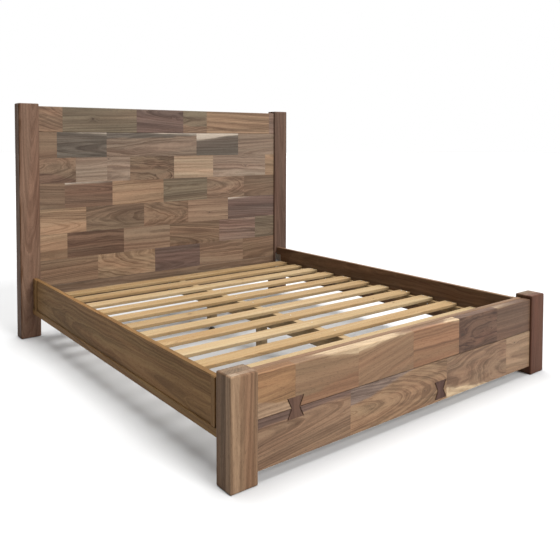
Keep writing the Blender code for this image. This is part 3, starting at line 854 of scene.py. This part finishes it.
def make_pine_pieces():
    for number in SLATS:
        node = f"slat_{number:02d}"
        rng = random.Random(node)
        low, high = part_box(node)
        along = rng.uniform(-SLAT_KNOT_REACH, SLAT_KNOT_REACH)
        across = rng.uniform(low.y + SLAT_KNOT_MARGIN, high.y - SLAT_KNOT_MARGIN)
        knot = (along, across, rng.choice(SLAT_KNOTS))
        board = Board(0.0, rng.choice(("pine", "pale_pine")), "pine", knot=knot)
        build_pine(node, board, X, Y, EASED["slat"])
    for word in SIDES:
        build_pine("slat_cleat_" + word, Board(0.0, "pine", "pine"), Y, Z, EASED["cleat"])
    pale = Board(0.0, "pale_pine", "pine")
    build_pine("centre_beam", pale, Y, Z, EASED["beam"])
    for number in CENTRE_LEGS:
        build_pine(f"centre_leg_{number}", pale, Z, X, EASED["leg"])


# --------------------------------------------------------------------------------------------------
# Steel and plastic.

# Screw heads: raised countersunk, with a cross recess. Lengths are shares of the head's radius.
HEAD_SIDES = 20
HEAD_RINGS = ((1.0, -0.25), (1.0, 0.04), (0.93, 0.12), (0.74, 0.22))
ARM_LENGTH = 0.56
ARM_WIDTH = 0.13
RECESS_TAPER = 0.72
RECESS_FLOOR = 0.03

# Radii of the screws' heads, and how far the screws stand from the edges of what they hold.
SMALL_HEAD = 0.0038
MEDIUM_HEAD = 0.0042
LARGE_HEAD = 0.0046
SLAT_END_MARGIN = 0.012
SLAT_EDGE_MARGIN = 0.022
CLEAT_MARGIN = 0.09
HOOK_EDGE_MARGIN = 0.030
HOOK_END_MARGIN = 0.020
SADDLE_MARGIN = 0.025
BACKING_MARGIN = 0.05
HEAD_BACKING_ROW_MARGIN = 0.04
FOOT_BACKING_ROW_MARGIN = 0.035

# The levellers' M10 thread and hexagon, and the pads' dish and ribs.
THREAD_PITCH = 0.0015
THREAD_CREST = 0.0050
THREAD_ROOT = 0.00415
THREAD_SIDES = 28
# The thread's outline: shares of the pitch, and radii.
THREAD_OUTLINE = (
    (0.0, THREAD_ROOT), (0.12, THREAD_ROOT), (0.45, THREAD_CREST), (0.60, THREAD_CREST), (0.93, THREAD_ROOT),
)
STEM_SIDES = 32
STEM_FOOT = 0.0060
FOOT_TOP = 0.0123
COLLAR = (0.018, 0.026)
COLLAR_SIDES = 6
COLLAR_CHAMFER = 0.00045
PAD_SIDES = 48
PAD_DISH = (
    (0.0, 0.0016), (0.0188, 0.0016), (0.0196, 0.0), (0.0204, 0.0), (0.0210, 0.0008),
    (0.0210, 0.0042), (0.0203, 0.0052), (0.0190, 0.0056), (0.0132, 0.0078), (0.0112, 0.0092),
    (0.0110, 0.0134), (0.0104, 0.0140), (0.0064, 0.0140), (0.0062, 0.0060), (0.0, 0.0058),
)
RIB_COUNT = 10
RIB_HALF = 0.0008
RIB_OUTLINE = ((0.0105, 0.0060), (0.0198, 0.0040), (0.0198, 0.0062), (0.0105, 0.0132))


def build_steel(node):
    """A pressed steel fitting cut from its CAD node's solid, with its edges broken."""
    bm = solid_of(node)
    ease(bm, turned_edges(bm, *SHARP_TURNS), EASED["steel"], 2)
    return add_solid(node + "_pressing", bm, ZINC, "zinc_steel", "frame", node)


def add_solid(name, bm, finish, slot, body, *nodes):
    mesh = bpy.data.meshes.new(name)
    bm.to_mesh(mesh)
    bm.free()
    return add_piece(name, mesh, finish, slot, body, *nodes)


def ring_of(bm, radius, height, sides, turn=0.0):
    """A ring of vertices round the Z axis."""
    angles = [turn + 2.0 * math.pi * i / sides for i in range(sides)]
    return [bm.verts.new((radius * math.cos(a), radius * math.sin(a), height)) for a in angles]


def skin(bm, low, high):
    """Faces between two rings of as many vertices."""
    for i in range(len(low)):
        j = (i + 1) % len(low)
        bm.faces.new((low[i], low[j], high[j], high[i]))


def screw_head():
    """The points and faces of a screw head of radius 1 on the plane z = 0, open on its hidden side."""
    bm = bmesh.new()
    rings = [ring_of(bm, radius, height, HEAD_SIDES) for radius, height in HEAD_RINGS]
    for low, high in zip(rings, rings[1:]):
        skin(bm, low, high)
    arm, half = ARM_LENGTH, ARM_WIDTH
    corner = [(arm, -half), (arm, half), (half, half)]
    quarters = ((1, 0), (0, 1), (-1, 0), (0, -1))
    outline = [(x * c - y * s, x * s + y * c) for c, s in quarters for x, y in corner]
    top = [bm.verts.new((x, y, HEAD_RINGS[-1][1])) for x, y in outline]
    floor = [bm.verts.new((x * RECESS_TAPER, y * RECESS_TAPER, RECESS_FLOOR)) for x, y in outline]
    bm.faces.new(floor)
    skin(bm, floor, top)
    pairs = [(ring[i], ring[i - 1]) for ring in (rings[-1], top) for i in range(len(ring))]
    edges = [bm.edges.get(pair) or bm.edges.new(pair) for pair in pairs]
    bmesh.ops.triangle_fill(bm, edges=edges, use_beauty=True)
    bmesh.ops.recalc_face_normals(bm, faces=bm.faces)
    bm.verts.index_update()
    shape = [v.co.copy() for v in bm.verts], [[v.index for v in face.verts] for face in bm.faces]
    bm.free()
    return shape


def add_screws(name, places, way, radius):
    """Screws with their heads at the given places, facing one way."""
    points, faces = screw_head()
    rng = random.Random(name)
    turn = Vector(way).to_track_quat("Z", "Y").to_matrix()
    verts, all_faces = [], []
    for place in places:
        angle = rng.uniform(0.0, math.pi)
        spin = Vector((math.cos(angle), math.sin(angle), 0.0))
        first = len(verts)
        for p in points:
            turned = Vector((p.x * spin.x - p.y * spin.y, p.x * spin.y + p.y * spin.x, p.z))
            verts.append(tuple(Vector(place) + turn @ (turned * radius)))
        all_faces += [[first + i for i in face] for face in faces]
    mesh = bpy.data.meshes.new(name)
    mesh.from_pydata(verts, [], all_faces)
    add_piece(name, mesh, ZINC, "zinc_steel", "frame")


def spaced(low, high, count, margin):
    """Evenly spaced places between two ends, with a margin at each."""
    step = (high - low - 2.0 * margin) / (count - 1)
    return [low + margin + i * step for i in range(count)]


def make_screws():
    slat_places = []
    for number in SLATS:
        low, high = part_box(f"slat_{number:02d}")
        rows = spaced(low.y, high.y, 2, SLAT_EDGE_MARGIN)
        ends = (low.x + SLAT_END_MARGIN, high.x - SLAT_END_MARGIN)
        slat_places += [(x, y, high.z) for x in ends for y in rows]
        slat_places.append((0.0, (low.y + high.y) / 2, high.z))
    add_screws("slat_screws", slat_places, (0.0, 0.0, 1.0), SMALL_HEAD)
    for word, way in (("left", 1.0), ("right", -1.0)):
        low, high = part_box("slat_cleat_" + word)
        face = high.x if way > 0 else low.x
        places = [(face, y, (low.z + high.z) / 2) for y in spaced(low.y, high.y, 9, CLEAT_MARGIN)]
        add_screws(f"cleat_screws_{word}", places, (way, 0.0, 0.0), MEDIUM_HEAD)
        for end in ENDS:
            low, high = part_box(f"hook_plate_{end}_{word}")
            face = high.x if way > 0 else low.x
            row = low.y + HOOK_EDGE_MARGIN if end == "head" else high.y - HOOK_EDGE_MARGIN
            places = [(face, row, z) for z in spaced(low.z, high.z, 3, HOOK_END_MARGIN)]
            add_screws(f"hook_plate_screws_{end}_{word}", places, (way, 0.0, 0.0), LARGE_HEAD)
    for end in ENDS:
        low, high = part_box("beam_saddle_" + end)
        for word, face, way in (("left", low.x, -1.0), ("right", high.x, 1.0)):
            places = [(face, (low.y + high.y) / 2, z) for z in spaced(low.z, high.z, 2, SADDLE_MARGIN)]
            add_screws(f"saddle_screws_{end}_{word}", places, (way, 0.0, 0.0), SMALL_HEAD)
    low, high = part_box("head_backing_board")
    rows = spaced(low.z, high.z, 4, HEAD_BACKING_ROW_MARGIN)
    places = [(x, high.y, z) for x in spaced(low.x, high.x, 7, BACKING_MARGIN) for z in rows]
    add_screws("head_backing_screws", places, (0.0, 1.0, 0.0), MEDIUM_HEAD)
    low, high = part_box("foot_backing_board")
    rows = (high.z - FOOT_BACKING_ROW_MARGIN, low.z + FOOT_BACKING_ROW_MARGIN)
    places = [(x, high.y, z) for x in spaced(low.x, high.x, 8, BACKING_MARGIN) for z in rows]
    add_screws("foot_backing_screws", places, (0.0, 1.0, 0.0), MEDIUM_HEAD)


def turned(bm, profile, sides):
    """A solid turned round the Z axis from (radius, height) points that start and end on the axis."""
    first, *middle, last = profile
    rings = [ring_of(bm, radius, height, sides) for radius, height in middle]
    for low, high in zip(rings, rings[1:]):
        skin(bm, low, high)
    for (_, height), ring in ((first, rings[0]), (last, rings[-1])):
        tip = bm.verts.new((0.0, 0.0, height))
        for i in range(sides):
            bm.faces.new((ring[i], ring[(i + 1) % sides], tip))


def thread(bm, low, high):
    """The skin of a screw thread round the Z axis, open at its ends."""
    steps = int((high - low - THREAD_PITCH) / THREAD_PITCH * THREAD_SIDES)
    rows = []
    for k in range(steps + 1):
        angle = 2.0 * math.pi * k / THREAD_SIDES
        base = low + THREAD_PITCH * k / THREAD_SIDES
        x, y = math.cos(angle), math.sin(angle)
        row = [(r * x, r * y, base + THREAD_PITCH * rise) for rise, r in THREAD_OUTLINE]
        rows.append([bm.verts.new(point) for point in row])
    for k in range(steps):
        for i in range(len(THREAD_OUTLINE) - 1):
            bm.faces.new((rows[k][i], rows[k + 1][i], rows[k + 1][i + 1], rows[k][i + 1]))
        if k + THREAD_SIDES < steps:
            above, next_above = rows[k + THREAD_SIDES], rows[k + THREAD_SIDES + 1]
            bm.faces.new((rows[k][-1], rows[k + 1][-1], next_above[0], above[0]))


def box_between(bm, outline, half):
    """A flat rib on an outline in the XZ plane, as thick as twice half."""
    near, far = ([bm.verts.new((x, side * half, z)) for x, z in outline] for side in (-1, 1))
    bm.faces.new(near)
    bm.faces.new(far[::-1])
    skin(bm, far, near)


def merge(bm, other):
    """Adds one shape to another, and frees it."""
    carrier = bpy.data.meshes.new("carrier")
    other.to_mesh(carrier)
    other.free()
    bm.from_mesh(carrier)
    bpy.data.meshes.remove(carrier)


def stem_shape(low, high):
    """A threaded stem on the Z axis, with its foot and its hexagon."""
    stem = bmesh.new()
    thread(stem, FOOT_TOP, high.z)
    foot = ((0.0, low.z), (STEM_FOOT, low.z), (STEM_FOOT, FOOT_TOP), (0.0, FOOT_TOP))
    core = ((0.0, FOOT_TOP), (THREAD_ROOT, FOOT_TOP), (THREAD_ROOT, high.z), (0.0, high.z))
    turned(stem, foot, STEM_SIDES)
    turned(stem, core, STEM_SIDES)
    hexagon = bmesh.new()
    rings = [ring_of(hexagon, (high.y - low.y) / 2, z, COLLAR_SIDES, math.pi / 2) for z in COLLAR]
    skin(hexagon, *rings)
    for ring in rings:
        hexagon.faces.new(ring)
    bmesh.ops.recalc_face_normals(hexagon, faces=hexagon.faces)
    bmesh.ops.bevel(hexagon, geom=hexagon.edges[:], offset=COLLAR_CHAMFER, segments=2, affect="EDGES")
    merge(stem, hexagon)
    return stem


def pad_shape():
    """A ribbed dish on the Z axis."""
    pad = bmesh.new()
    turned(pad, PAD_DISH, PAD_SIDES)
    for i in range(RIB_COUNT):
        rib = bmesh.new()
        box_between(rib, RIB_OUTLINE, RIB_HALF)
        spin = Matrix.Rotation(2.0 * math.pi * i / RIB_COUNT, 3, "Z")
        bmesh.ops.rotate(rib, matrix=spin, verts=rib.verts)
        merge(pad, rib)
    return pad


def make_levellers():
    for number in CENTRE_LEGS:
        low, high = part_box(f"leveller_stem_{number}")
        centre = Vector(((low.x + high.x) / 2, (low.y + high.y) / 2, 0.0))
        parts = (
            ("threaded_stem", "stem", stem_shape(low, high), ZINC, "zinc_steel"),
            ("ribbed_pad", "pad", pad_shape(), PLASTIC, "pad_plastic"),
        )
        for word, body, bm, finish, slot in parts:
            bmesh.ops.translate(bm, vec=centre, verts=bm.verts)
            bmesh.ops.recalc_face_normals(bm, faces=bm.faces)
            name, node = f"leveller_{number}_{word}", f"leveller_{body}_{number}"
            add_solid(name, bm, finish, slot, f"{body}_{number}", node)


def make_fittings():
    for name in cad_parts:
        if name.startswith(("hook_plate", "post_plate", "beam_saddle")):
            build_steel(name)
    make_screws()
    make_levellers()


# --------------------------------------------------------------------------------------------------
# Studio.

CAMERA_PLACE = (-2.2770, -2.8884, 1.2380)
CAMERA_TURN = (90.0 - 2.176, 0.0, -36.043)
CAMERA_LENS = 40.739
CAMERA_SHIFT = (0.0750, -0.2071)

# The sky is brightest towards one side, and dim on the other, which leaves the bed's left side in shade.
SKY_WAY = (0.85, 0.53, 0.0)
SKY_SPREAD = (-0.20, 0.42, 0.16, 1.0)
FLOOR_HALF_SIZE = 60.0
FLOOR_GAP = 0.0005
FLOOR_COLOURS = ((0.48, 0.48, 0.48, 1.0), (0.50, 0.50, 0.50, 1.0))
BACKDROP_RADIUS = 58.0

# Each light: where it comes from, how soft it is in degrees, and its strength.
LIGHTS = {
    "key_light": ((1.8, -8.6, 6.0), 26.0, 3.75),
    "top_light": ((0.0, 0.4, 4.6), 40.0, 4.2),
}


def make_floor():
    material, t = new_material("pale_floor")
    place = t.add("ShaderNodeTexCoord").outputs["Object"]
    cloud = t.noise(place, (3.0, 3.0, 3.0), 3.0)
    t.feed(t.shader.inputs["Base Color"], t.mix(cloud, *FLOOR_COLOURS))
    t.shader.inputs["Roughness"].default_value = 0.9
    t.shader.inputs["Specular IOR Level"].default_value = 0.0
    bm = bmesh.new()
    bmesh.ops.create_grid(bm, x_segments=1, y_segments=1, size=FLOOR_HALF_SIZE)
    mesh = bpy.data.meshes.new("studio_floor")
    bm.to_mesh(mesh)
    bm.free()
    mesh.materials.append(material)
    floor = bpy.data.objects.new("studio_floor", mesh)
    floor.location.z = CAD_BOX[0].z - FLOOR_GAP
    bpy.context.scene.collection.objects.link(floor)


def make_backdrop():
    """A plain white dome round the studio. Only the camera sees it, so it throws no light on the bed."""
    material, t = new_material("white_backdrop")
    t.shader.inputs["Base Color"].default_value = BLACK
    t.shader.inputs["Specular IOR Level"].default_value = 0.0
    t.shader.inputs["Emission Color"].default_value = WHITE
    t.shader.inputs["Emission Strength"].default_value = 1.0
    material.cycles.emission_sampling = "NONE"
    bm = bmesh.new()
    bmesh.ops.create_uvsphere(bm, u_segments=48, v_segments=24, radius=BACKDROP_RADIUS)
    mesh = bpy.data.meshes.new("studio_backdrop")
    bm.to_mesh(mesh)
    bm.free()
    mesh.materials.append(material)
    dome = bpy.data.objects.new("studio_backdrop", mesh)
    for rays in ("diffuse", "glossy", "transmission", "volume_scatter", "shadow"):
        setattr(dome, "visible_" + rays, False)
    bpy.context.scene.collection.objects.link(dome)


def add_light(name, way, spread, strength):
    """An even soft light from far off, along the way from a place to the origin."""
    data = bpy.data.lights.new(name, "SUN")
    data.angle = math.radians(spread)
    data.energy = strength
    light = bpy.data.objects.new(name, data)
    light.location = way
    light.rotation_euler = (-Vector(way)).to_track_quat("-Z", "Y").to_euler()
    bpy.context.scene.collection.objects.link(light)


def make_studio():
    scene = bpy.context.scene
    world = bpy.data.worlds.new("studio")
    world.use_nodes = True
    nodes, links = world.node_tree.nodes, world.node_tree.links
    nodes["Background"].inputs["Color"].default_value = WHITE
    toward = nodes.new("ShaderNodeVectorMath")
    toward.operation = "DOT_PRODUCT"
    toward.inputs[1].default_value = SKY_WAY
    links.new(nodes.new("ShaderNodeTexCoord").outputs["Generated"], toward.inputs[0])
    spread = nodes.new("ShaderNodeMapRange")
    spread.interpolation_type = "SMOOTHSTEP"
    for key, part in zip(("From Min", "From Max", "To Min", "To Max"), SKY_SPREAD):
        spread.inputs[key].default_value = part
    links.new(toward.outputs["Value"], spread.inputs["Value"])
    links.new(spread.outputs["Result"], nodes["Background"].inputs["Strength"])
    scene.world = world
    scene.view_settings.view_transform = "Standard"
    for name, light in LIGHTS.items():
        add_light(name, *light)
    camera_data = bpy.data.cameras.new("camera")
    camera_data.lens = CAMERA_LENS
    camera_data.shift_x, camera_data.shift_y = CAMERA_SHIFT
    camera = bpy.data.objects.new("camera", camera_data)
    camera.location = CAMERA_PLACE
    camera.rotation_euler = tuple(math.radians(a) for a in CAMERA_TURN)
    scene.collection.objects.link(camera)
    scene.camera = camera


make_footboard()
make_headboard()
make_posts()
make_rails()
make_pine_pieces()
make_fittings()
make_floor()
make_backdrop()
make_studio()
